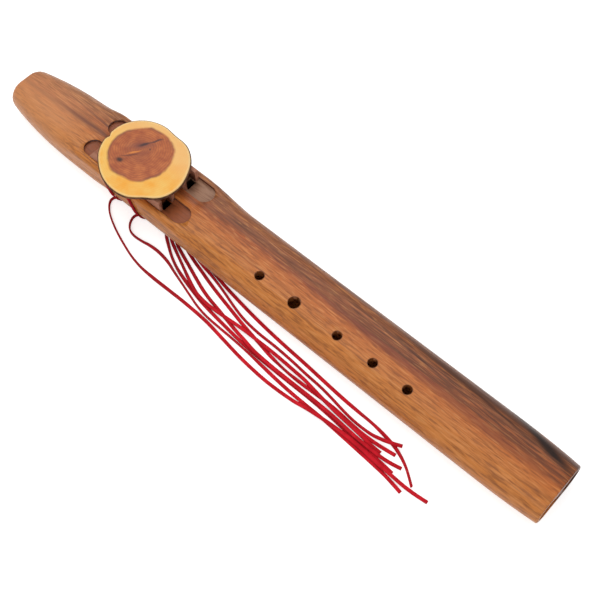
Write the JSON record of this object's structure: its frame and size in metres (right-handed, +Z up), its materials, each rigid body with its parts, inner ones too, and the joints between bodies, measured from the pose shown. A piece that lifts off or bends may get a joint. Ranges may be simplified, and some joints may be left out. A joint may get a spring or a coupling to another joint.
{
  "type": "double flute",
  "caption": "Wooden double flute: parallel bores in one wide body, a laced-on sliding block topped by a branch slice, and a trailing lace fringe.",
  "frame": {"origin": "on the table, under the middle of the body's length and width", "axes": "+X along the body to the foot end, +Y to the drone side, +Z up through the finger-hole face"},
  "size_m": [0.572, 0.1043, 0.0453],
  "materials": {
    "body_wood": "oiled, satin, grain along the body",
    "block_wood": "sanded, lightly oiled",
    "slice_wood": "sanded end grain, oiled",
    "bark": "rough bark",
    "suede": "matt red suede"
  },
  "bodies": {
    "flute": {"body_top_half": "body_wood", "body_bottom_half": "body_wood", "tie_loop_front": "suede", "tie_loop_rear": "suede", "tie_knot_front": "suede", "tie_knot_rear": "suede", "fringe_header": "suede", "tie_tail_front": "suede", "tie_tail_rear": "suede", "fringe_lace_1": "suede", "fringe_lace_2": "suede", "fringe_lace_3": "suede", "fringe_lace_4": "suede", "fringe_lace_5": "suede", "fringe_lace_6": "suede"},
    "totem": {"totem_block": "block_wood", "totem_slice": "slice_wood", "slice_bark": "bark"}
  },
  "joints": [
    {"name": "totem_slide", "type": "slide", "parent": "flute", "child": "totem", "axis": [1, 0, 0], "range_m": [-0.003, 0.003]}
  ]
}
